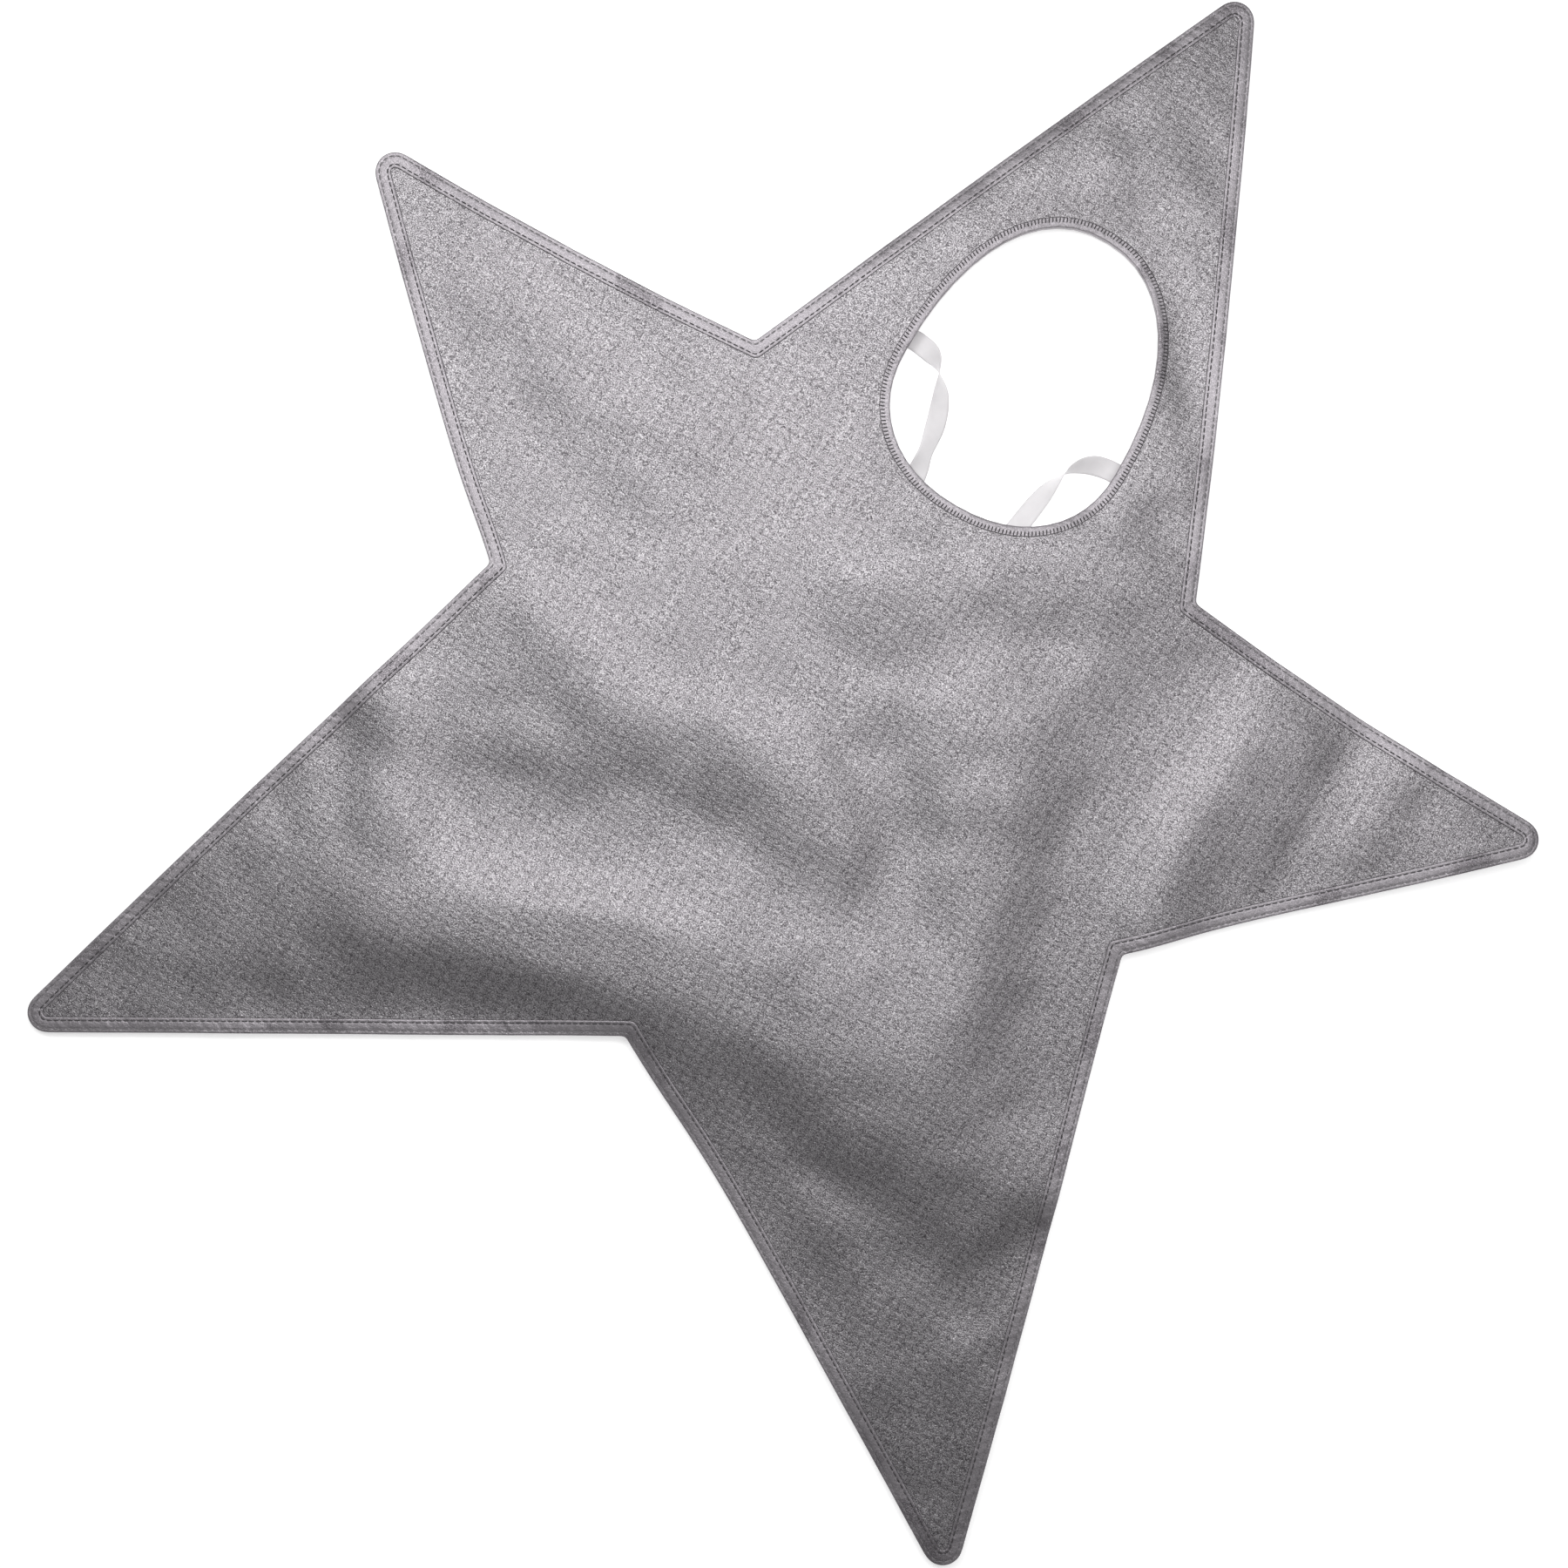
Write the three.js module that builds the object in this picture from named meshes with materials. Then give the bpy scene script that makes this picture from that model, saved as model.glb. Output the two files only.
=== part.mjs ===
// A five-pointed star cape for a costume, laid flat. +Y runs to the top point, +Z is the silver
// front, and z = 0 is the surface it lies on. All sizes are in millimetres.
//
// The cloth is a stack of three layers of one outline: lining, interlining and silver front. A
// folded binding closes the outer edge and holds two rows of stitching. A narrower binding closes
// the face opening. Two satin ties are tacked behind the opening and lie under the cloth.

import * as THREE from "three";

// ---- Driving dimensions -----------------------------------------------------------------------

// Corners of the right half of the star, where its sides would meet if no point were rounded.
const topPoint = new THREE.Vector2(0, 446.2);
const topNotch = new THREE.Vector2(147, 120);
const sidePoint = new THREE.Vector2(401.5, 108.2);
const sideNotch = new THREE.Vector2(212.2, -71);
const footPoint = new THREE.Vector2(317.8, -442.65);
const footNotch = new THREE.Vector2(0, -257);
const pointRadius = 11.5;

// How far each side swells out of a straight line at its middle; negative is hollow.
const topArmBow = 1.5;
const shoulderBow = -3;
const underarmBow = 1;
const outerLegBow = 1.2;
const innerLegBow = -0.5;

// The face opening is an egg, blunt end down: two halves of a superellipse on one widest line.
const openingWidestY = 160.2;
const openingHalfWidth = 69.8;
const openingRise = 112.2;
const openingDrop = 62.2;
const openingFullness = 2.2;

const clearance = 0.3;
const liningThickness = 0.5;
const interliningThickness = 2;
const frontThickness = 0.5;

const bindingWidth = 9;
const bindingFold = 1.2;
const bindingLip = 1;
const edgeRowInset = 2.2;
const hemRowMargin = 2;

const openingBindingWidth = 6;
const openingRowMargin = 1.8;

const threadWidth = 0.7;
const threadHeight = 0.4;
const foldChamfer = 0.35;

const tieWidth = 12;
const tieThickness = 0.4;
const tieLift = 0.1;
const tackLength = 3;
const tackWidth = 8;
const tackInset = 3;

// Where each tie lies, from its tack to its free end: how far in from the side of the opening, and
// its y. The first part shows in the opening.
const leftTieRoute = [
  [-2.7, 168.6],
  [0.3, 168.6],
  [4.3, 168.4],
  [12.8, 166.4],
  [21.6, 160.6],
  [30.2, 148.6],
  [36, 133.4],
  [39.2, 116.2],
  [41.4, 101.6],
  [42.6, 82],
  [41, 58],
  [36.2, 32],
  [30, 6],
  [25.2, -20],
  [22.6, -46],
  [22, -86.8],
];
const rightTieRoute = [
  [-2.7, 161.8],
  [0.3, 161.8],
  [5.3, 161.4],
  [12.7, 159.2],
  [19.6, 154.4],
  [24.8, 147.4],
  [28.2, 137],
  [30.4, 124],
  [33, 105.2],
  [36, 84],
  [36.6, 60],
  [33.4, 34],
  [28, 8],
  [23.4, -18],
  [20.8, -44],
  [20.2, -97.1],
];

const curveDivisions = 4;
const openingSegments = 48;
const tieSteps = 60;

// ---- Heights of the layers, each one clearance above the one below ------------------------------

const openingLipBottom = tieLift + tieThickness + clearance;
const liningBottom = openingLipBottom + bindingLip + clearance;
const interliningBottom = liningBottom + liningThickness + clearance;
const frontBottom = interliningBottom + interliningThickness + clearance;
const topLipBottom = frontBottom + frontThickness + clearance;
const topOfCloth = topLipBottom + bindingLip;
const layerInset = bindingFold + clearance;

// ---- Outlines: closed loops of points with the cloth on the left of the way they run -------------

const mirrored = (point) => new THREE.Vector2(-point.x, point.y);

// The two ends and the centre of the arc that rounds a point of the star.
function roundedPoint(before, corner, after) {
  const toBefore = before.clone().sub(corner).normalize();
  const toAfter = after.clone().sub(corner).normalize();
  const halfAngle = Math.acos(toBefore.dot(toAfter)) / 2;
  const bisector = toBefore.clone().add(toAfter).normalize();
  const reach = pointRadius / Math.tan(halfAngle);
  return {
    start: corner.clone().addScaledVector(toBefore, reach),
    end: corner.clone().addScaledVector(toAfter, reach),
    centre: corner.clone().addScaledVector(bisector, pointRadius / Math.sin(halfAngle)),
  };
}

// Draws a side that swells by bow at its middle. The loop runs counter-clockwise, so out is right.
function drawSide(path, from, to, bow) {
  const along = to.clone().sub(from).normalize();
  const outward = new THREE.Vector2(along.y, -along.x);
  const control = from.clone().add(to).multiplyScalar(0.5).addScaledVector(outward, 2 * bow);
  path.quadraticCurveTo(control.x, control.y, to.x, to.y);
}

function starLoop() {
  const points = [topPoint, mirrored(sidePoint), mirrored(footPoint), footPoint, sidePoint];
  const notches = [mirrored(topNotch), mirrored(sideNotch), footNotch, sideNotch, topNotch];
  const bowsBefore = [topArmBow, shoulderBow, outerLegBow, innerLegBow, underarmBow];
  const bowsAfter = [topArmBow, underarmBow, innerLegBow, outerLegBow, shoulderBow];
  const path = new THREE.Path();
  points.forEach((point, i) => {
    const notchBefore = notches[(i + 4) % 5];
    const { start, end, centre } = roundedPoint(notchBefore, point, notches[i]);
    if (i === 0) path.moveTo(start.x, start.y);
    else drawSide(path, notchBefore, start, bowsBefore[i]);
    const startAngle = Math.atan2(start.y - centre.y, start.x - centre.x);
    const endAngle = Math.atan2(end.y - centre.y, end.x - centre.x);
    path.absarc(centre.x, centre.y, pointRadius, startAngle, endAngle, false);
    drawSide(path, end, notches[i], bowsAfter[i]);
  });
  const { start } = roundedPoint(topNotch, topPoint, mirrored(topNotch));
  drawSide(path, topNotch, start, bowsBefore[0]);
  return withoutRepeats(path.getPoints(curveDivisions));
}

// Drops each point that lies on the one before it, and the last where it closes on the first.
function withoutRepeats(points) {
  return points.filter((point, i) => {
    const before = points[(i + points.length - 1) % points.length];
    return point.distanceTo(before) > 0.01;
  });
}

// Runs clockwise, so that the cloth around the opening is on its left.
function openingLoop() {
  const power = 2 / openingFullness;
  return Array.from({ length: openingSegments }, (_, i) => {
    const turn = (-2 * Math.PI * i) / openingSegments;
    const across = Math.sign(Math.cos(turn)) * Math.abs(Math.cos(turn)) ** power;
    const up = Math.sign(Math.sin(turn)) * Math.abs(Math.sin(turn)) ** power;
    const height = up > 0 ? openingRise : openingDrop;
    return new THREE.Vector2(openingHalfWidth * across, openingWidestY + height * up);
  });
}

// The loop moved into the cloth by a distance, with mitred corners.
function inset(loop, distance) {
  return loop.map((point, i) => {
    const before = loop[(i + loop.length - 1) % loop.length];
    const after = loop[(i + 1) % loop.length];
    const arriving = point.clone().sub(before).normalize();
    const leaving = after.clone().sub(point).normalize();
    const normal = new THREE.Vector2(-arriving.y - leaving.y, arriving.x + leaving.x);
    const mitre = distance / (1 + arriving.dot(leaving));
    return point.clone().addScaledVector(normal, mitre);
  });
}

// ---- Shapes -------------------------------------------------------------------------------------

// A ring along a loop. The profile is a list of [inset, height], clockwise with inset to the right.
function ringGeometry(loop, profile) {
  const rows = profile.map(([distance, height]) =>
    inset(loop, distance).map((point) => new THREE.Vector3(point.x, point.y, height)),
  );
  const positions = [];
  const push = (...corners) => corners.forEach((corner) => positions.push(...corner.toArray()));
  rows.forEach((row, j) => {
    const next = rows[(j + 1) % rows.length];
    row.forEach((corner, i) => {
      const k = (i + 1) % row.length;
      push(corner, row[k], next[k]);
      push(corner, next[k], next[i]);
    });
  });
  const geometry = new THREE.BufferGeometry();
  geometry.setAttribute("position", new THREE.Float32BufferAttribute(positions, 3));
  geometry.computeVertexNormals();
  return geometry;
}

// The groove for a thread in the upper face at a height, from the fold towards the lip's edge.
function grooveInTop(row, height) {
  const half = threadWidth / 2 + clearance;
  const bottom = height - threadHeight - clearance;
  return [
    [row - half, height],
    [row - half, bottom],
    [row + half, bottom],
    [row + half, height],
  ];
}

// The groove in the lower face, from the lip's edge back towards the fold.
function grooveInBottom(row, height) {
  const half = threadWidth / 2 + clearance;
  const top = height + threadHeight + clearance;
  return [
    [row + half, height],
    [row + half, top],
    [row - half, top],
    [row - half, height],
  ];
}

// A binding folded round the edge of the layers, with grooves where its rows of stitching sink in.
function bindingGeometry(loop, width, bottom, rows) {
  const upperGrooves = rows.flatMap((row) => grooveInTop(row, topOfCloth));
  const lowerGrooves = rows.toReversed().flatMap((row) => grooveInBottom(row, bottom));
  return ringGeometry(loop, [
    [foldChamfer, bottom],
    [0, bottom + foldChamfer],
    [0, topOfCloth - foldChamfer],
    [foldChamfer, topOfCloth],
    ...upperGrooves,
    [width, topOfCloth],
    [width, topLipBottom],
    [bindingFold, topLipBottom],
    [bindingFold, liningBottom - clearance],
    [width, liningBottom - clearance],
    [width, bottom],
    ...lowerGrooves,
  ]);
}

// One thread of a row of stitching, drawn as a flat line of its own width.
function threadGeometry(loop, row, bottom) {
  const outer = row - threadWidth / 2;
  const inner = row + threadWidth / 2;
  const top = bottom + threadHeight;
  return ringGeometry(loop, [
    [outer, bottom],
    [outer, top],
    [inner, top],
    [inner, bottom],
  ]);
}

// One layer of the cloth, with the face opening cut out of it.
function layerGeometry(star, opening, thickness) {
  const shape = new THREE.Shape(inset(star, layerInset));
  shape.holes.push(new THREE.Path(inset(opening, layerInset)));
  return new THREE.ExtrudeGeometry(shape, { depth: thickness, bevelEnabled: false });
}

// A flat ribbon along its route, lying just above the surface.
function tieGeometry(route) {
  const height = tieLift + tieThickness / 2;
  const line = new THREE.CatmullRomCurve3(route.map(([x, y]) => new THREE.Vector3(x, y, height)));
  const half = { thick: tieThickness / 2, wide: tieWidth / 2 };
  const section = new THREE.Shape([
    new THREE.Vector2(-half.thick, -half.wide),
    new THREE.Vector2(half.thick, -half.wide),
    new THREE.Vector2(half.thick, half.wide),
    new THREE.Vector2(-half.thick, half.wide),
  ]);
  return new THREE.ExtrudeGeometry(section, { steps: tieSteps, extrudePath: line });
}

// ---- Materials ----------------------------------------------------------------------------------

const cloth = (color, roughness, metalness) =>
  new THREE.MeshStandardMaterial({ color, roughness, metalness });
const silverCloth = cloth(0xb9b5b8, 0.38, 0.9);
const silverBinding = cloth(0xaaa6aa, 0.42, 0.85);
const liningCloth = cloth(0xd9d8d8, 0.8, 0);
const interliningFelt = cloth(0xe6e5e2, 0.95, 0);
const greyThread = cloth(0x67646a, 0.6, 0);
const whiteSatin = cloth(0xf3f1f2, 0.35, 0);

// ---- The pieces ---------------------------------------------------------------------------------

const cape = new THREE.Group();

function add(name, geometry, material, x = 0, y = 0, z = 0) {
  const mesh = new THREE.Mesh(geometry, material);
  mesh.name = name;
  mesh.position.set(x, y, z);
  cape.add(mesh);
}

function addLayers(star, opening) {
  const layer = (thickness) => layerGeometry(star, opening, thickness);
  add("back_lining", layer(liningThickness), liningCloth, 0, 0, liningBottom);
  add("interlining", layer(interliningThickness), interliningFelt, 0, 0, interliningBottom);
  add("front_panel", layer(frontThickness), silverCloth, 0, 0, frontBottom);
}

function addRow(name, loop, row, bottomOfBinding) {
  add(`${name}_needle_thread`, threadGeometry(loop, row, topOfCloth - threadHeight), greyThread);
  add(`${name}_bobbin_thread`, threadGeometry(loop, row, bottomOfBinding), greyThread);
}

function addOuterEdge(star) {
  const hemRowInset = bindingWidth - hemRowMargin;
  const rows = [edgeRowInset, hemRowInset];
  add("outer_binding", bindingGeometry(star, bindingWidth, 0, rows), silverBinding);
  addRow("edge_row", star, edgeRowInset, 0);
  addRow("hem_row", star, hemRowInset, 0);
}

function addOpeningEdge(opening) {
  const row = openingBindingWidth - openingRowMargin;
  const binding = bindingGeometry(opening, openingBindingWidth, openingLipBottom, [row]);
  add("opening_binding", binding, silverBinding);
  addRow("opening_row", opening, row, openingLipBottom);
}

// side is -1 for the left tie and 1 for the right one.
function addTie(name, route, side) {
  const tack = new THREE.BoxGeometry(tackLength, tackWidth, tieThickness);
  const tackX = side * (openingHalfWidth + tackInset + tackLength / 2);
  const tackY = route[0][1];
  const line = route.map(([inward, y]) => [side * (openingHalfWidth - inward), y]);
  add(`${name}_tie_ribbon`, tieGeometry(line), whiteSatin);
  add(`${name}_tie_tack`, tack, whiteSatin, tackX, tackY, tieLift + tieThickness / 2);
}

const star = starLoop();
const opening = openingLoop();
addLayers(star, opening);
addOuterEdge(star);
addOpeningEdge(opening);
addTie("left", leftTieRoute, -1);
addTie("right", rightTieRoute, 1);

// The frame's origin is the middle of the outline.
const middle = new THREE.Box2().setFromPoints(star).getCenter(new THREE.Vector2());
cape.position.set(-middle.x, -middle.y, 0);

export default cape;
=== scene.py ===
"""A silver star cape laid flat on a pale floor, with its two satin ties showing in the face opening.

The cloth, its bindings and its stitches are made flat, where their CAD nodes lie, and then laid: lifted by
the folds of the cloth and swayed a little in its own plane; the ties and their tacks are not laid. Lengths
are in metres, and in millimetres times MM.
"""

import math

import bpy
import numpy as np
from mathutils.geometry import delaunay_2d_cdt
from mathutils.kdtree import KDTree
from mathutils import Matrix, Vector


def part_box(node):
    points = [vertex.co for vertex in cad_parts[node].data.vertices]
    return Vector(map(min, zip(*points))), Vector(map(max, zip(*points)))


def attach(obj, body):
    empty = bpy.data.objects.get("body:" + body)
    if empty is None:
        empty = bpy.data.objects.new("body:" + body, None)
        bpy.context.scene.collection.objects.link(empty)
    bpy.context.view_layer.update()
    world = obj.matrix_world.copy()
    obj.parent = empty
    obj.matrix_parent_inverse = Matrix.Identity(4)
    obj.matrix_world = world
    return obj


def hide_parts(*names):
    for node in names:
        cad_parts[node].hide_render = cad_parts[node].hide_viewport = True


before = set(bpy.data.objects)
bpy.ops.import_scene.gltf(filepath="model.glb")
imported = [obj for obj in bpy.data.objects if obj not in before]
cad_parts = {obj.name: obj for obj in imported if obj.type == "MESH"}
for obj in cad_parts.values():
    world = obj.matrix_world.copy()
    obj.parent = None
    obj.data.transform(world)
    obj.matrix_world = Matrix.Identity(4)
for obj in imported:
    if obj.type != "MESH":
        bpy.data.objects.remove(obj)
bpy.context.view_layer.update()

MM = 0.001

# ---- Driving values, all but the counts in millimetres -------------------------------------------

# The CAD's heights and insets, with the top lip pressed a little thinner than its solid.
LINING = (2.1, 2.6)
INTERLINING = (2.9, 4.9)
FRONT = (5.2, 5.7)
TOP = 6.45
LIP_BOTTOM = 6.0
LAYER_INSET = 1.5
FOLD = 1.2
FOLD_CHAMFER = 0.35
OUTER_BAND = {"bottom": 0.0, "width": 9.0, "rows": (2.2, 7.0)}
OPENING_BAND = {"bottom": 0.8, "width": 6.0, "rows": (4.2,)}

FINE_CELL = 3.6
COARSE_CELL = 8.0
OUTER_STATION = 1.33
OPENING_STATION = 0.8
OUTER_PITCH = 4.0
OPENING_PITCH = 2.1
OPENING_STITCH_REACH = 1.5
THREAD = 0.66
TACK_THREAD = THREAD / 1.3
NEEDLE_SINK = 0.12
BOBBIN_RISE = 0.6
SEAM_DIP = 0.14
OUTER_PUCKER = 0.2
OPENING_PUCKER = 0.16

TIE_WIDTH = 12.0
TIE_THICKNESS = 0.32

REST_LIFT = 1.4
MIDDLE_LIFT = 3.6
HIGHEST_LIFT = 10.4

# ---- How the cloth lies ---------------------------------------------------------------------------

# Each fold is its line, its height (negative for a valley), and how far it reaches on the left and
# on the right of its line.
FOLDS = [
    # The left side of the basin in the left leg.
    ([(-254, -129), (-207, -176), (-184, -216), (-183, -264)], 3.8, 30, 36),
    # The basin, and the wall and crest below it.
    ([(-190, -166), (-151, -201), (-101, -194), (-43, -171), (22, -151)], -4.4, 74, 36),
    ([(-228, -247), (-167, -276), (-90, -244), (-22, -210), (37, -196)], 1.8, 34, 40),
    # The long crest above the dark slopes of both legs.
    (
        [(-289, -371), (-190, -283), (-96, -245), (-19, -215), (72, -215), (171, -226), (306, -236)],
        6.8, 98, 56,
    ),
    ([(-21, -275), (94, -311), (219, -365)], -3.0, 40, 40),
    ([(238, -318), (244, -266), (266, -209)], -3.0, 26, 26),
    # The deep valley between the right leg and the right arm, and the crests beside it.
    (
        [(161, 148), (178, 88), (179, 29), (176, -7), (180, -47), (190, -85), (213, -147), (249, -219)],
        -5.4, 38, 70,
    ),
    ([(230, 126), (210, 53), (204, 20), (205, -15), (213, -49), (236, -111)], 4.4, 44, 38),
    ([(5, 55), (66, 10), (112, -44), (148, -128), (196, -216)], 3.4, 58, 50),
    # Ribs in the right arm, their left sides the longer.
    ([(247, 120), (246, 56), (249, -23)], 2.4, 24, 36),
    ([(299, 134), (298, 73), (298, 11)], 1.5, 22, 36),
    ([(315, 170), (373, 111), (423, 36)], 7.2, 40, 130),
    # Ridges and hollows across the middle.
    ([(-108, -89), (-45, -77), (-1, -81), (38, -100), (75, -141)], 3.6, 34, 54),
    ([(7, -21), (56, -66), (105, -118)], -2.2, 32, 40),
    ([(-218, -69), (-158, -79), (-101, -90), (-57, -103)], 2.6, 30, 46),
    ([(-56, 0), (5, 55), (59, 101), (117, 119), (157, 111)], 5.2, 40, 52),
    # The two upper arms, and soft buckles round the opening.
    ([(-366, 102), (-268, 83), (-180, 63), (-105, 24)], 4.2, 64, 66),
    ([(-141, 103), (-75, 247), (-34, 334), (14, 449)], 5.2, 26, 66),
    ([(-48, 300), (-10, 314), (30, 324), (61, 335)], 1.5, 26, 28),
    ([(22, 286), (68, 248), (104, 196)], -2.4, 18, 18),
    ([(67, 126), (90, 166), (116, 200)], 2.6, 24, 30),
]


def eased(line, passes=3):
    """The line with its corners cut, keeping its two ends."""
    line = np.array(line, float)
    for _ in range(passes):
        first = line[:-1] * 0.75 + line[1:] * 0.25
        second = line[:-1] * 0.25 + line[1:] * 0.75
        between = np.stack([first, second], axis=1).reshape(-1, 2)
        line = np.vstack([line[:1], between, line[-1:]])
    return line


def beside(points, line):
    """Each point's distance from the line, positive on its left, and its share of the way along."""
    starts, ends = line[:-1], line[1:]
    steps = ends - starts
    lengths = np.hypot(steps[:, 0], steps[:, 1])
    reached = np.concatenate([[0], np.cumsum(lengths)])
    nearest = np.full(len(points), 1e9)
    side = np.zeros(len(points))
    share = np.zeros(len(points))
    for start, step, length, before in zip(starts, steps, lengths, reached):
        offset = points - start
        along = np.clip(offset @ step / length**2, 0, 1)
        away = offset - along[:, None] * step
        distance = np.hypot(away[:, 0], away[:, 1])
        closer = distance < nearest
        cross = step[0] * offset[:, 1] - step[1] * offset[:, 0]
        nearest = np.where(closer, distance, nearest)
        side = np.where(closer, np.sign(cross), side)
        share = np.where(closer, (before + along * length) / reached[-1], share)
    return nearest * side, share


def fold_height(points, line, height, left, right):
    """How high one fold lifts each point: rounded across, and eased in and out at its two ends."""
    distance, share = beside(points, eased(line))
    reach = np.where(distance > 0, left, right)
    across = np.clip(1 - (distance / reach) ** 2, 0, None) ** 2
    ends = np.clip(np.minimum(share, 1 - share) / 0.3, 0, 1)
    return height * across * ends**2 * (3 - 2 * ends)


def ripple(points, seed, count, shortest, longest, size):
    """Seeded soft waves in every direction, longer ones higher."""
    chance = np.random.default_rng(seed)
    total = np.zeros(len(points))
    for _ in range(count):
        length = chance.uniform(shortest, longest)
        heading = chance.uniform(0, 2 * math.pi)
        direction = np.array([math.cos(heading), math.sin(heading)])
        phase = chance.uniform(0, 2 * math.pi)
        total += length / longest * np.sin(points @ direction * 2 * math.pi / length + phase)
    return total * size * math.sqrt(2 / count)


class Relief:
    """The height of the cloth on an even grid, read as a smooth surface."""

    step = 3.0
    low = np.array([-420.0, -465.0])
    count = (281, 311)

    def __init__(self):
        columns, rows = self.count
        across, up = np.meshgrid(np.arange(columns), np.arange(rows), indexing="ij")
        points = self.low + self.step * np.column_stack([across.ravel(), up.ravel()])
        away = ((points - (10, -60)) / (210, 230)) ** 2
        height = REST_LIFT + MIDDLE_LIFT * np.exp(-away.sum(axis=1))
        for line, size, left, right in FOLDS:
            height += fold_height(points, line, size, left, right)
        height += ripple(points, 4, 40, 70, 190, 0.7)
        height += ripple(points, 9, 60, 20, 56, 0.3)
        height = (height + np.sqrt(height**2 + 0.8)) / 2
        room = HIGHEST_LIFT - height
        height = HIGHEST_LIFT - (room + np.sqrt(room**2 + 1.2)) / 2
        self.height = height.reshape(self.count)
        for axis in (0, 1, 0, 1):
            before, after = np.roll(self.height, 1, axis), np.roll(self.height, -1, axis)
            self.height = (before + 2 * self.height + after) / 4

    def at(self, points):
        """The height at flat points, through cubic B-splines."""
        place = (points - self.low) / self.step
        corner = np.floor(place).astype(int)
        share = place - corner
        weights = [
            (1 - share) ** 3 / 6,
            (3 * share**3 - 6 * share**2 + 4) / 6,
            (-3 * share**3 + 3 * share**2 + 3 * share + 1) / 6,
            share**3 / 6,
        ]
        total = np.zeros(len(points))
        for i in range(4):
            for j in range(4):
                found = self.height[corner[:, 0] + i - 1, corner[:, 1] + j - 1]
                total += weights[i][:, 0] * weights[j][:, 1] * found
        return total


relief = Relief()


def sway(points):
    """How far the cloth is out of its flat pattern in its own plane, in millimetres."""
    x, y = points[:, 0], points[:, 1]
    top_lean = np.clip((y - 150) / 290, 0, 1) ** 1.3
    notch = np.exp(-((x / 70) ** 2) - ((y + 257) / 60) ** 2)
    right = np.exp(-(((x - 212) / 45) ** 2) - ((y + 71) / 45) ** 2)
    left = np.exp(-(((x + 212) / 45) ** 2) - ((y + 71) / 45) ** 2)
    across = -5 * top_lean - 7 * notch + 1.5 * right
    up = -3 * notch - 3.5 * right + 4 * left
    return np.column_stack([across, up])


def laid(flat):
    """Flat points, in millimetres, where the cloth takes them."""
    flat = np.asarray(flat, float)
    out = flat.copy()
    out[:, :2] += sway(flat[:, :2])
    out[:, 2] += relief.at(flat[:, :2])
    return out


# ---- Meshes ---------------------------------------------------------------------------------------


def make(name, points, faces, material, body="cape"):
    """A mesh from points in millimetres, riding on a body."""
    mesh = bpy.data.meshes.new(name)
    mesh.from_pydata((np.asarray(points) * MM).tolist(), [], faces)
    mesh.validate()
    mesh.polygons.foreach_set("use_smooth", [True] * len(mesh.polygons))
    mesh.materials.append(material)
    piece = bpy.data.objects.new(name, mesh)
    bpy.context.scene.collection.objects.link(piece)
    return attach(piece, body)


def ring_corners(node, height):
    """The corners of a CAD ring at one height, in millimetres, anticlockwise."""
    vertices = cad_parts[node].data.vertices
    corners = {
        (round(v.co.x / MM, 2), round(v.co.y / MM, 2))
        for v in vertices
        if abs(v.co.z / MM - height) < 0.01
    }
    middle = np.mean(list(corners), axis=0)
    return np.array(sorted(corners, key=lambda c: math.atan2(c[1] - middle[1], c[0] - middle[0])))


def mitres(loop):
    """For each corner, the step that moves it one millimetre into the cloth, on the left."""
    arriving = loop - np.roll(loop, 1, axis=0)
    arriving /= np.linalg.norm(arriving, axis=1)[:, None]
    leaving = np.roll(arriving, -1, axis=0)
    normal = np.column_stack([-arriving[:, 1] - leaving[:, 1], arriving[:, 0] + leaving[:, 0]])
    return normal / (1 + np.sum(arriving * leaving, axis=1))[:, None]


class Edge:
    """An edge of the cloth: evenly spaced stations, each with its step into the cloth."""

    def __init__(self, loop, spacing):
        self.loop = loop
        self.inward = mitres(loop)
        closed = np.vstack([loop, loop[:1]])
        inward = np.vstack([self.inward, self.inward[:1]])
        reached = np.concatenate([[0], np.cumsum(np.linalg.norm(np.diff(closed, axis=0), axis=1))])
        count = round(reached[-1] / spacing)
        self.along = np.arange(count) * reached[-1] / count
        self.base = np.column_stack([np.interp(self.along, reached, closed[:, k]) for k in (0, 1)])
        self.step = np.column_stack([np.interp(self.along, reached, inward[:, k]) for k in (0, 1)])
        for _ in range(3):
            self.base = softened(self.base)
            self.step = softened(self.step)

    def at(self, inset):
        return self.base + self.step * inset


def softened(values):
    return (np.roll(values, 1, axis=0) + 2 * values + np.roll(values, -1, axis=0)) / 4


def evenly(loop, spacing):
    """A closed loop of points at even spacing."""
    closed = np.vstack([loop, loop[:1]])
    reached = np.concatenate([[0], np.cumsum(np.linalg.norm(np.diff(closed, axis=0), axis=1))])
    count = round(reached[-1] / spacing)
    at = np.arange(count) * reached[-1] / count
    return np.column_stack([np.interp(at, reached, closed[:, k]) for k in range(closed.shape[1])])


outer_edge = Edge(ring_corners("outer_binding", FOLD_CHAMFER), OUTER_STATION)
opening_corners = ring_corners("opening_binding", OPENING_BAND["bottom"] + FOLD_CHAMFER)[::-1]
opening_edge = Edge(opening_corners, OPENING_STATION)


def inside(points, loop):
    """Whether each point is inside a closed loop."""
    within = np.zeros(len(points), bool)
    x, y = points[:, 0], points[:, 1]
    for (ax, ay), (bx, by) in zip(loop, np.roll(loop, -1, axis=0)):
        crosses = (ay > y) != (by > y)
        if ay != by:
            within ^= crosses & (x < (bx - ax) * (y - ay) / (by - ay) + ax)
    return within


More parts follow.
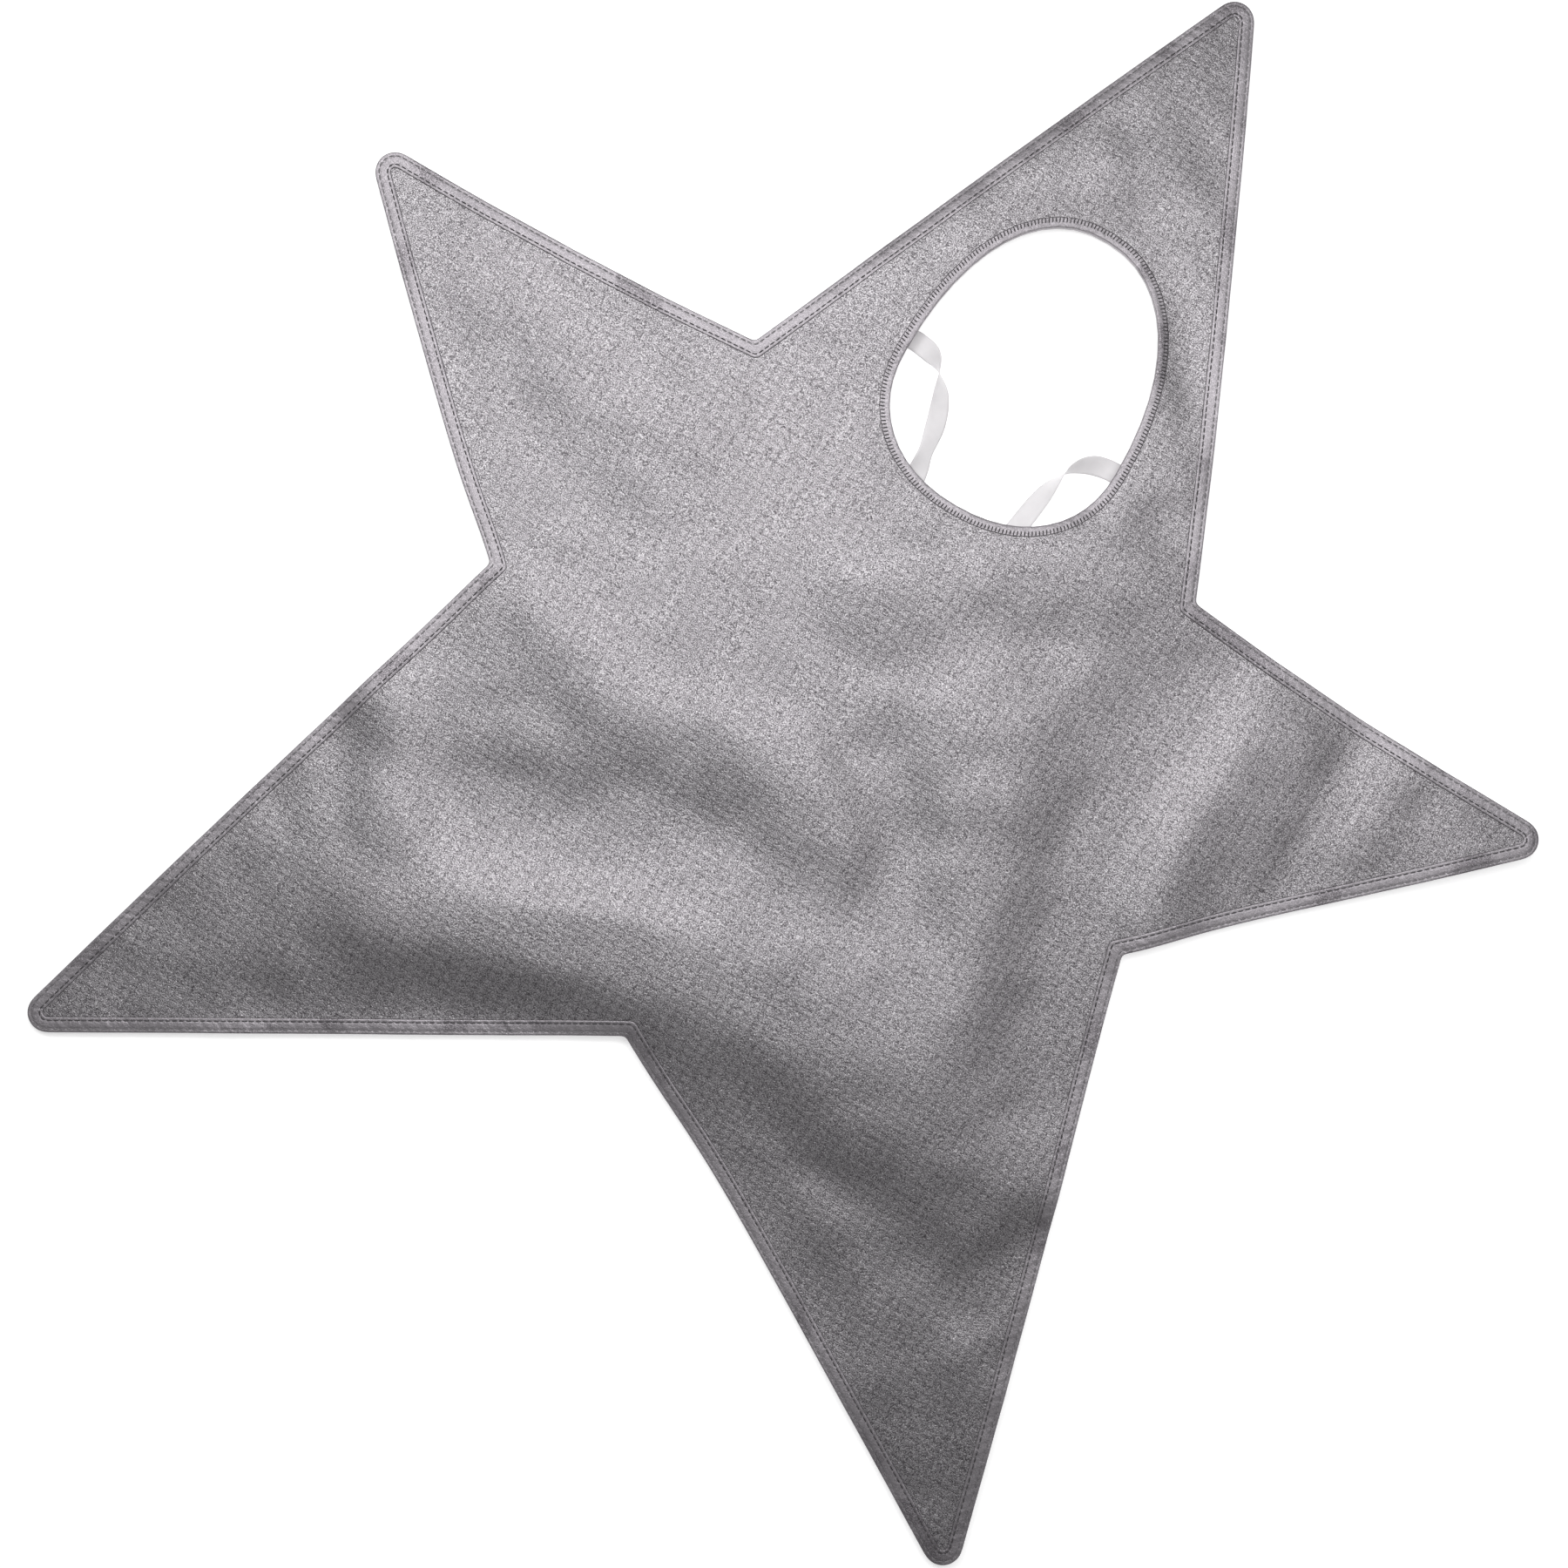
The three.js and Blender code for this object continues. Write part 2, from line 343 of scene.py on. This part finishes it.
def clear_of(points, ends, distance):
    """Whether each point is at least a distance from all of the end points."""
    tree = KDTree(len(ends))
    for i, (x, y) in enumerate(ends):
        tree.insert((x, y, 0), i)
    tree.balance()
    return np.array([tree.find((x, y, 0))[2] > distance for x, y in points])


def pattern(cell):
    """The cloth's outline and opening filled with triangles of about one cell."""
    star, face = (edge.loop + edge.inward * LAYER_INSET for edge in (outer_edge, opening_edge))
    rim = evenly(star, cell)
    hole = evenly(face, cell)
    low, high = rim.min(axis=0), rim.max(axis=0)
    rows = np.arange(low[1], high[1], cell * math.sqrt(3) / 2)
    grid = [
        (x + (i % 2) * cell / 2, y) for i, y in enumerate(rows) for x in np.arange(low[0], high[0], cell)
    ]
    grid = np.array(grid)
    grid = grid[inside(grid, star) & ~inside(grid, face)]
    grid = grid[clear_of(grid, np.vstack([rim, hole]), cell * 0.7)]
    points = np.vstack([rim, hole, grid])
    ends = len(rim), len(rim) + len(hole)
    edges = [(i, (i + 1) % ends[0]) for i in range(ends[0])]
    edges += [(i, i + 1 if i + 1 < ends[1] else ends[0]) for i in range(*ends)]
    made = delaunay_2d_cdt([tuple(p) for p in points], edges, [], 0, 1e-4)
    corners = np.array([tuple(v) for v in made[0]])
    triangles = np.array([tuple(f) for f in made[2]])
    middles = corners[triangles].mean(axis=1)
    kept = triangles[inside(middles, star) & ~inside(middles, face)]
    used, renumbered = np.unique(kept, return_inverse=True)
    return corners[used], renumbered.reshape(kept.shape)


def layer(name, cut, heights, material):
    """One layer of cloth: the cut at its lower and upper heights, closed along its edges."""
    corners, triangles = cut
    count = len(corners)
    bottom, top = (np.column_stack([corners, np.full(count, h)]) for h in heights)
    upward = triangles + count
    faces = upward.tolist() + triangles[:, ::-1].tolist()
    sides = np.vstack([triangles[:, [0, 1]], triangles[:, [1, 2]], triangles[:, [2, 0]]])
    both = {tuple(side) for side in sides.tolist()}
    faces += [[a, b, b + count, a + count] for a, b in both if (b, a) not in both]
    return make(name, laid(np.vstack([bottom, top])), faces, material)


# ---- Bindings and stitching -----------------------------------------------------------------------


def band_profile(band):
    """The folded band's section as insets and heights: in over the top lip's underside, then round."""
    bottom, width, rows = band["bottom"], band["width"], band["rows"]
    upper_lip = [(FOLD, LIP_BOTTOM + 0.05), (width - 0.6, LIP_BOTTOM)]
    nose = [(width, LIP_BOTTOM + 0.02), (width - 0.4, TOP - 0.2), (width - 1.1, TOP - 0.1)]
    top = [(inset, TOP - 0.05 - dip(inset, rows)) for inset in np.arange(width - 1.7, 0.9, -0.5)]
    shoulder = [(0.5, TOP - 0.12), (0.15, TOP - 0.34), (0, TOP - 0.8)]
    wall = [(0, (TOP + bottom) / 2), (0, bottom + 0.95), (0.2, bottom + 0.4), (0.6, bottom + 0.12)]
    under = [(inset, bottom + dip(inset, rows)) for inset in np.arange(1.2, width - 1.1, 0.5)]
    heel = [(width - 0.4, bottom + 0.1), (width, bottom + 0.4), (width - 0.2, LINING[0] - 0.35)]
    return upper_lip + nose + top + shoulder + wall + under + heel + [(FOLD, LINING[0] - 0.32)]


def dip(inset, rows):
    """How deep the seams pull the band in at an inset."""
    return sum(SEAM_DIP * math.exp(-(((inset - row) / 0.8) ** 2)) for row in rows)


def band_mesh(name, edge, band, pucker, material):
    """A binding swept round its edge, with small puckers along it."""
    profile = band_profile(band)
    count, rows = len(edge.base), len(profile)
    upper = (TOP + band["bottom"]) / 2
    points = []
    for inset, height in profile:
        flat = np.column_stack([edge.at(inset), np.full(count, height)])
        if height > upper and 0.4 < inset < band["width"] + 0.1:
            flat[:, 2] -= pucker * (1 + gathers(edge.along, inset)) / 2
        points.append(laid(flat))
    faces = []
    for j in range(rows):
        here, above = j * count, (j + 1) % rows * count
        for i in range(count):
            k = (i + 1) % count
            faces.append([here + i, above + i, above + k, here + k])
    return make(name, np.vstack(points), faces, material)


def gathers(along, inset):
    """Slanting puckers along an edge, from -1 to 1."""
    slant = along + 0.8 * inset
    waves = [(5.3, 0.4, 0.0), (8.7, 0.35, 1.3), (3.9, 0.25, 2.1)]
    return sum(size * np.sin(2 * math.pi * slant / length + phase) for length, size, phase in waves)


def stitches(name, edge, inset, height, pitch, side, across, material):
    """A row of separate stitches, each a thread that rises out of its hole and goes down again.

    They lie along the edge, or reach a distance to each side of the row across it.
    """
    line = evenly(edge.at(inset), pitch / 5)
    count = len(line) // 5
    line = line[: count * 5]
    if across:
        ahead = np.roll(line, -1, axis=0) - line
        ahead /= np.linalg.norm(ahead, axis=1)[:, None]
        reach = np.tile(np.linspace(-across, across, 5), count)
        centre = np.repeat(line.reshape(count, 5, 2).mean(axis=1), 5, axis=0)
        line = centre + (line - centre) * 0.2 + np.column_stack([-ahead[:, 1], ahead[:, 0]]) * reach[:, None]
    arch = np.array([-0.35, 0.16, 0.24, 0.14, -0.35]) * side
    flat = np.column_stack([line, height + np.tile(arch, count)])
    middle = laid(flat).reshape(count, 5, 3)
    ahead = middle[:, -1] - middle[:, 0]
    ahead /= np.linalg.norm(ahead, axis=1)[:, None]
    across = np.cross(ahead, [0, 0, 1])
    across /= np.linalg.norm(across, axis=1)[:, None]
    turns = np.arange(6) * math.pi / 3
    around = np.cos(turns)[:, None] * across[:, None, :] + np.sin(turns)[:, None] * np.array([0, 0, 1])
    girth = np.array([0.7, 1.0, 1.05, 1.0, 0.7]) * THREAD / 2
    points = middle[:, :, None, :] + girth[None, :, None, None] * around[:, None, :, :]
    faces = []
    for start in range(0, count * 30, 30):
        faces += skin(start, 5, 6)
    return make(name, points.reshape(-1, 3), faces, material)


def skin(start, rings, around):
    """The sides and two end caps over rings of points, numbered from a start."""
    faces = []
    for ring in range(start, start + (rings - 1) * around, around):
        for i in range(around):
            k = (i + 1) % around
            faces.append([ring + i, ring + k, ring + around + k, ring + around + i])
    last = start + (rings - 1) * around
    faces.append([start + i for i in range(around - 1, -1, -1)])
    faces.append([last + i for i in range(around)])
    return faces


# ---- Ties -----------------------------------------------------------------------------------------

# Where each tie lies, as in the CAD, in millimetres, and how far it has turned over there, in degrees.
LEFT_TIE = [
    (-72.5, 168.6, 0), (-69.5, 168.6, 0), (-65.5, 168.4, 4), (-57, 166.4, 28), (-48.2, 160.6, 84),
    (-39.6, 148.6, 142), (-33.8, 133.4, 162), (-30.6, 116.2, 136), (-28.4, 101.6, 170), (-27.2, 82, 180),
    (-28.8, 58, 180), (-33.6, 32, 180), (-39.8, 6, 180), (-44.6, -20, 180), (-47.2, -46, 180),
    (-47.8, -86.8, 180),
]
RIGHT_TIE = [
    (72.5, 161.8, 0), (69.5, 161.8, 0), (64.5, 161.4, -4), (57.1, 159.2, -24), (50.2, 154.4, -52),
    (45, 147.4, -84), (41.6, 137, -124), (39.4, 124, -156), (36.8, 105.2, -172), (33.8, 84, -180),
    (33.2, 60, -180), (36.4, 34, -180), (41.8, 8, -180), (46.4, -18, -180), (49, -44, -180),
    (49.6, -97.1, -180),
]


def through(points, per_span):
    """A smooth curve through the points (centripetal Catmull-Rom), at even shares of its spans."""
    points = np.array(points, float)
    first = 2 * points[0] - points[1]
    last = 2 * points[-1] - points[-2]
    padded = np.vstack([first, points, last])
    made = []
    for i in range(len(points) - 1):
        a, b, c, d = padded[i : i + 4]
        t = np.arange(per_span)[:, None] / per_span
        made.append(
            0.5 * (2 * b + (c - a) * t + (2 * a - 5 * b + 4 * c - d) * t**2 + (3 * b - a - 3 * c + d) * t**3)
        )
    return np.vstack(made + [points[-1:]])


def tie(name, route, body, material):
    """A satin ribbon along its route, leaning onto one edge where it twists."""
    line = through(route, 8)
    ahead = np.gradient(line[:, :2], axis=0)
    ahead /= np.linalg.norm(ahead, axis=1)[:, None]
    left = np.column_stack([-ahead[:, 1], ahead[:, 0]])
    lean = np.radians(line[:, 2])
    half = TIE_WIDTH / 2
    centre_height = 0.3 + half * np.abs(np.sin(lean))
    rows = []
    across = np.linspace(-1, 1, 9)
    for share in across:
        offset = share * half
        flat = line[:, :2] + left * (offset * np.cos(lean))[:, None]
        height = centre_height + offset * np.sin(lean) + 0.25 * (1 - share**2) * np.sin(np.abs(lean))
        rows.append(np.column_stack([flat, height]))
    face = np.stack(rows, axis=1)
    normal = np.column_stack([-left * np.sin(lean)[:, None], np.cos(lean)])
    upper = face + normal[:, None, :] * TIE_THICKNESS / 2
    lower = face - normal[:, None, :] * TIE_THICKNESS / 2
    section = np.concatenate([upper, lower[:, ::-1]], axis=1)
    piece = make(name, section.reshape(-1, 3), skin(0, *section.shape[:2]), material, body)
    path = np.column_stack([line[:, :2], centre_height]) * MM
    return piece, path.tolist()


def tack(name, node, material, body):
    """The zigzag of thread that holds a tie's end to the lining."""
    low, high = (np.array(corner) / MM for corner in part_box(node))
    steps = 13
    share = np.linspace(0, 1, steps)
    x = np.where(np.arange(steps) % 2 == 0, low[0] + 0.4, high[0] - 0.4)
    y = low[1] + 0.3 + share * (high[1] - low[1] - 0.6)
    corners = np.column_stack([x, y, np.full(steps, (low[2] + high[2]) / 2)])
    line = through(corners, 4)
    return tube(name, line, TACK_THREAD / 2, material, body)


def tube(name, line, radius, material, body):
    """A round thread along a line, closed at its ends."""
    ahead = np.gradient(line, axis=0)
    ahead /= np.linalg.norm(ahead, axis=1)[:, None]
    across = np.cross(ahead, [0, 0, 1])
    across /= np.linalg.norm(across, axis=1)[:, None]
    up = np.cross(across, ahead)
    turns = np.arange(8) * math.pi / 4
    around = np.cos(turns)[None, :, None] * across[:, None, :] + np.sin(turns)[None, :, None] * up[:, None, :]
    points = (line[:, None, :] + radius * around).reshape(-1, 3)
    return make(name, points, skin(0, len(line), 8), material, body)


# ---- Materials ------------------------------------------------------------------------------------


class Shader:
    """A node material with short ways to add and join its nodes."""

    def __init__(self, name, roughness, metallic=0.0):
        self.material = bpy.data.materials.new(name)
        self.material.use_nodes = True
        self.tree = self.material.node_tree
        self.surface = self.tree.nodes["Principled BSDF"]
        self.surface.inputs["Roughness"].default_value = roughness
        self.surface.inputs["Metallic"].default_value = metallic
        self.place = self.tree.nodes.new("ShaderNodeTexCoord").outputs["Object"]

    def join(self, source, socket):
        if isinstance(source, (int, float)):
            socket.default_value = source
        else:
            self.tree.links.new(source, socket)

    def scaled(self, stretch):
        """The place, stretched by one number along each axis."""
        mapping = self.tree.nodes.new("ShaderNodeMapping")
        mapping.inputs["Scale"].default_value = stretch
        self.join(self.place, mapping.inputs["Vector"])
        return mapping.outputs[0]

    def noise(self, period, detail=2.0, stretch=(1, 1, 1), rough=0.5):
        """Soft noise whose lumps are about one period across, in millimetres."""
        node = self.tree.nodes.new("ShaderNodeTexNoise")
        node.inputs["Scale"].default_value = 1 / (period * MM)
        node.inputs["Detail"].default_value = detail
        node.inputs["Roughness"].default_value = rough
        self.join(self.scaled(stretch), node.inputs["Vector"])
        return node.outputs["Fac"]

    def math(self, kind, *values):
        node = self.tree.nodes.new("ShaderNodeMath")
        node.operation = kind
        for value, socket in zip(values, node.inputs):
            self.join(value, socket)
        return node.outputs[0]

    def wave(self, axis, period, waver, waver_period):
        """A sine from 0 to 1 along an axis, wavering by a share of its period."""
        split = self.tree.nodes.new("ShaderNodeSeparateXYZ")
        self.join(self.place, split.inputs[0])
        turns = self.math("MULTIPLY", split.outputs[axis], 1 / (period * MM))
        shift = self.math("MULTIPLY", self.noise(waver_period), waver * 2)
        angle = self.math("MULTIPLY", self.math("ADD", turns, shift), 2 * math.pi)
        return self.math("MULTIPLY_ADD", self.math("SINE", angle), 0.5, 0.5)

    def mix(self, share, first, second):
        """A colour between two, by a share."""
        node = self.tree.nodes.new("ShaderNodeMix")
        node.data_type = "RGBA"
        self.join(share, node.inputs["Factor"])
        for colour, socket in ((first, "A"), (second, "B")):
            target = [s for s in node.inputs if s.name == socket and s.type == "RGBA"][0]
            if isinstance(colour, tuple):
                target.default_value = (*colour, 1)
            else:
                self.join(colour, target)
        return [s for s in node.outputs if s.type == "RGBA"][0]

    def spread(self, value, low, high, to_low=0.0, to_high=1.0):
        """A value from low to high taken to another range."""
        node = self.tree.nodes.new("ShaderNodeMapRange")
        self.join(value, node.inputs["Value"])
        for name, number in (("From Min", low), ("From Max", high), ("To Min", to_low), ("To Max", to_high)):
            node.inputs[name].default_value = number
        return node.outputs[0]

    def bump(self, height, depth, strength=1.0, under=None):
        """Bumps of a depth in millimetres."""
        node = self.tree.nodes.new("ShaderNodeBump")
        node.inputs["Strength"].default_value = strength
        node.inputs["Distance"].default_value = depth * MM
        self.join(height, node.inputs["Height"])
        if under is not None:
            self.join(under, node.inputs["Normal"])
        return node.outputs[0]

    def finish(self, colour=None, normal=None, roughness=None):
        for value, socket in ((colour, "Base Color"), (normal, "Normal"), (roughness, "Roughness")):
            if value is not None:
                self.join(value, self.surface.inputs[socket])
        return self.material


def crepe(s):
    """The lamé's grain: pebbles in faint ribs both ways, as a height, and a fine glitter noise for its bumps
    and its painted glints.
    """
    weft = s.wave("Y", 4.9, 0.2, 11)
    warp = s.wave("X", 7.0, 0.2, 11)
    ribs = s.math("MULTIPLY_ADD", weft, 0.6, s.math("MULTIPLY", warp, 0.4))
    woven = s.math("MULTIPLY_ADD", s.math("MULTIPLY", weft, warp), 0.2, s.math("MULTIPLY", ribs, 0.1))
    pebbles = s.noise(1.6, 1.0, (1.0, 1.3, 1.0))
    return s.math("MULTIPLY_ADD", pebbles, 0.8, woven), s.noise(0.7, 3.0, rough=0.75)


def silver_lame():
    """Metallic cloth: a pebbled crepe grain with painted shade in its hollows, and a fine broken glitter with
    painted glints.
    """
    s = Shader("silver_lame", 0.42, 0.9)
    pebbles, glitter_and_painted_glint = crepe(s)
    normal = s.bump(glitter_and_painted_glint, 0.2, 1.0, s.bump(pebbles, 0.22))
    shade = s.mix(s.spread(s.noise(55, 3.0), 0.35, 0.65), (0.206, 0.192, 0.206), (0.240, 0.226, 0.240))
    # Painted shade: where the pebbles sink, the colour goes nearly black, as shade falling in the grain's
    # hollows.
    tone_with_painted_pit_shade = s.mix(s.spread(pebbles, 0.35, 0.75), (0.075, 0.068, 0.075), shade)
    # Painted glints: where the glitter noise is high, the colour is lifted towards bright silver.
    colour = s.mix(s.spread(glitter_and_painted_glint, 0.44, 0.64), tone_with_painted_pit_shade, (0.52, 0.503, 0.52))
    return s.finish(colour, normal, s.spread(glitter_and_painted_glint, 0.35, 0.65, 0.48, 0.36))


def silver_binding():
    """The same cloth folded over the edges, a little rougher, with a few darker stretches of painted shade
    and painted glints.
    """
    s = Shader("silver_binding", 0.45, 0.88)
    pebbles, glitter_and_painted_glint = crepe(s)
    normal = s.bump(glitter_and_painted_glint, 0.14, 1.0, s.bump(pebbles, 0.16))
    # Painted shade: a slow noise darkens stretches of the binding to about half its tone.
    stretch = s.spread(s.noise(30, 2.0), 0.36, 0.46)
    shade = s.mix(stretch, (0.13, 0.12, 0.13), (0.255, 0.24, 0.255))
    # Painted glints: where the glitter noise is high, the colour is lifted towards bright silver.
    colour = s.mix(s.spread(glitter_and_painted_glint, 0.42, 0.7), shade, (0.42, 0.395, 0.42))
    return s.finish(colour, normal, s.spread(glitter_and_painted_glint, 0.35, 0.65, 0.52, 0.40))


def lining_cloth():
    """Plain pale woven lining."""
    s = Shader("lining_cloth", 0.8)
    weave = s.math("ADD", s.wave("X", 0.9, 0.08, 6), s.wave("Y", 0.9, 0.08, 6))
    slub = s.noise(9, 3.0, (1, 0.2, 1))
    colour = s.mix(s.spread(slub, 0.35, 0.65), (0.62, 0.61, 0.61), (0.74, 0.73, 0.73))
    return s.finish(colour, s.bump(weave, 0.08))


def interlining_felt():
    """Soft pale felt with short fibres."""
    s = Shader("interlining_felt", 0.95)
    fibres = s.noise(0.7, 4.0, (1, 0.35, 1), 0.7)
    colour = s.mix(s.spread(s.noise(12, 3.0), 0.35, 0.65), (0.70, 0.69, 0.66), (0.80, 0.79, 0.77))
    return s.finish(colour, s.bump(fibres, 0.2))


def polyester_thread(name, dark, light):
    """Twisted polyester thread between two shades."""
    s = Shader(name, 0.55)
    twist = s.noise(0.35, 1.0, (1, 1, 2))
    colour = s.mix(s.spread(s.noise(3, 1.0), 0.35, 0.65), dark, light)
    return s.finish(colour, s.bump(twist, 0.08))


def white_satin():
    """White satin ribbon: fine cross ribs under a soft shine."""
    s = Shader("white_satin", 0.45)
    ribs = s.math("ADD", s.wave("X", 0.5, 0.05, 8), s.wave("Y", 0.5, 0.05, 8))
    colour = s.mix(s.spread(s.noise(8, 2.0), 0.35, 0.65), (0.78, 0.76, 0.775), (0.82, 0.80, 0.815))
    s.surface.inputs["Sheen Weight"].default_value = 0.2
    return s.finish(colour, s.bump(ribs, 0.03), s.spread(s.noise(5, 2.0), 0.3, 0.7, 0.4, 0.5))


def floor_finish():
    s = Shader("floor", 0.7)
    colour = s.mix(s.noise(220, 2.0), (0.93, 0.93, 0.93), (0.95, 0.95, 0.95))
    s.surface.inputs["Emission Color"].default_value = (1, 1, 1, 1)
    s.surface.inputs["Emission Strength"].default_value = 0.45
    return s.finish(colour)


# ---- The cape -------------------------------------------------------------------------------------

lame = silver_lame()
band_cloth = silver_binding()
lining = lining_cloth()
felt = interlining_felt()
dark_thread = polyester_thread("dark_thread", (0.03, 0.027, 0.03), (0.08, 0.075, 0.08))
silver_thread = polyester_thread("silver_thread", (0.15, 0.142, 0.15), (0.24, 0.23, 0.24))
satin = white_satin()

fine_cut = pattern(FINE_CELL)
coarse_cut = pattern(COARSE_CELL)
front_cloth = layer("front_cloth", fine_cut, FRONT, lame)
padding = layer("interlining_cloth", coarse_cut, INTERLINING, felt)
back_cloth = layer("lining_back", coarse_cut, LINING, lining)
outer_band = band_mesh("outer_band", outer_edge, OUTER_BAND, OUTER_PUCKER, band_cloth)
opening_band = band_mesh("opening_band", opening_edge, OPENING_BAND, OPENING_PUCKER, band_cloth)


def seam(name, edge, band, row, pitch, thread, across=0.0):
    """The needle side and the bobbin side of one row of stitching."""
    inset = band["rows"][row]
    sides = ("front", "needle", TOP - NEEDLE_SINK, 1), ("back", "bobbin", band["bottom"] + BOBBIN_RISE, -1)
    pieces = []
    for face, node, height, side in sides:
        piece = stitches(f"{name}_stitches_{face}", edge, inset, height, pitch, side, across, thread)
        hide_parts(f"{name}_{node}_thread")
        pieces.append(piece)
    return pieces


seams = seam("edge_row", outer_edge, OUTER_BAND, 0, OUTER_PITCH, silver_thread)
seams += seam("hem_row", outer_edge, OUTER_BAND, 1, OUTER_PITCH, dark_thread)
seams += seam(
    "opening_row", opening_edge, OPENING_BAND, 0, OPENING_PITCH, dark_thread, OPENING_STITCH_REACH
)

left_tie, left_path = tie("left_ribbon", LEFT_TIE, "left_tie", satin)
right_tie, right_path = tie("right_ribbon", RIGHT_TIE, "right_tie", satin)
left_tack = tack("left_tack", "left_tie_tack", satin, "cape")
right_tack = tack("right_tack", "right_tie_tack", satin, "cape")

for piece, node, slot in (
    (front_cloth, "front_panel", "silver_lame"),
    (padding, "interlining", "interlining_felt"),
    (back_cloth, "back_lining", "lining_cloth"),
    (outer_band, "outer_binding", "silver_binding"),
    (opening_band, "opening_binding", "silver_binding"),
    (left_tie, "left_tie_ribbon", "white_satin"),
    (right_tie, "right_tie_ribbon", "white_satin"),
    (left_tack, "left_tie_tack", "white_satin"),
    (right_tack, "right_tie_tack", "white_satin"),
):
    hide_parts(node)

# ---- Floor, light and camera ----------------------------------------------------------------------

CAMERA_PLACE = (-2.8 * MM, -89.5 * MM, 1.506)
CAMERA_TURN = 30.77
FOCAL_LENGTH = 60
SENSOR = 36
HORIZON_TOP = 0.1
OVERHEAD_BOTTOM = 0.55


def floor():
    """A wide pale floor under the cape."""
    reach = 4.0
    corners = [(-reach, -reach, 0), (reach, -reach, 0), (reach, reach, 0), (-reach, reach, 0)]
    mesh = bpy.data.meshes.new("floor")
    mesh.from_pydata(corners, [], [[0, 1, 2, 3]])
    mesh.materials.append(floor_finish())
    made = bpy.data.objects.new("floor", mesh)
    bpy.context.scene.collection.objects.link(made)


def softbox(name, place, target, size, power):
    """A white rectangular lamp of a size in metres and a power in watts, facing its target."""
    lamp = bpy.data.lights.new(name, "AREA")
    lamp.shape = "RECTANGLE"
    lamp.size, lamp.size_y = size
    lamp.energy = power
    made = bpy.data.objects.new(name, lamp)
    made.location = place
    x, y, z = np.array(place) - np.array(target)
    made.rotation_euler = (math.atan2(math.hypot(x, y), z), 0, math.atan2(x, -y))
    bpy.context.scene.collection.objects.link(made)


def daylight(overhead, low):
    """White light from all round, of one strength overhead and another near the horizon."""
    world = bpy.data.worlds.new("studio")
    world.use_nodes = True
    tree = world.node_tree
    background = tree.nodes["Background"]
    background.inputs["Color"].default_value = (1, 1, 1, 1)
    direction = tree.nodes.new("ShaderNodeTexCoord").outputs["Generated"]
    split = tree.nodes.new("ShaderNodeSeparateXYZ")
    fade = tree.nodes.new("ShaderNodeMapRange")
    tree.links.new(direction, split.inputs[0])
    tree.links.new(split.outputs["Z"], fade.inputs["Value"])
    heights = ("From Min", HORIZON_TOP), ("From Max", OVERHEAD_BOTTOM)
    for name, number in (*heights, ("To Min", low), ("To Max", overhead)):
        fade.inputs[name].default_value = number
    tree.links.new(fade.outputs[0], background.inputs["Strength"])
    bpy.context.scene.world = world


def camera():
    """Straight down over the cape, turned so that the star leans to the right."""
    lens = bpy.data.cameras.new("camera")
    lens.sensor_width = SENSOR
    lens.lens = FOCAL_LENGTH
    made = bpy.data.objects.new("camera", lens)
    made.location = CAMERA_PLACE
    made.rotation_euler = (0, 0, math.radians(CAMERA_TURN))
    bpy.context.scene.collection.objects.link(made)
    bpy.context.scene.camera = made


floor()
softbox("softbox", (-0.2, 0.33, 1.3), (-0.2, 0.13, 0.0), (1.6, 0.72), 14.6)
softbox("side_softbox", (-0.6, 0.03, 1.25), (0.0, 0.03, 0.0), (0.3, 0.3), 2.4)
daylight(0.205, 0.8)
bpy.context.scene.view_settings.view_transform = "Standard"
camera()
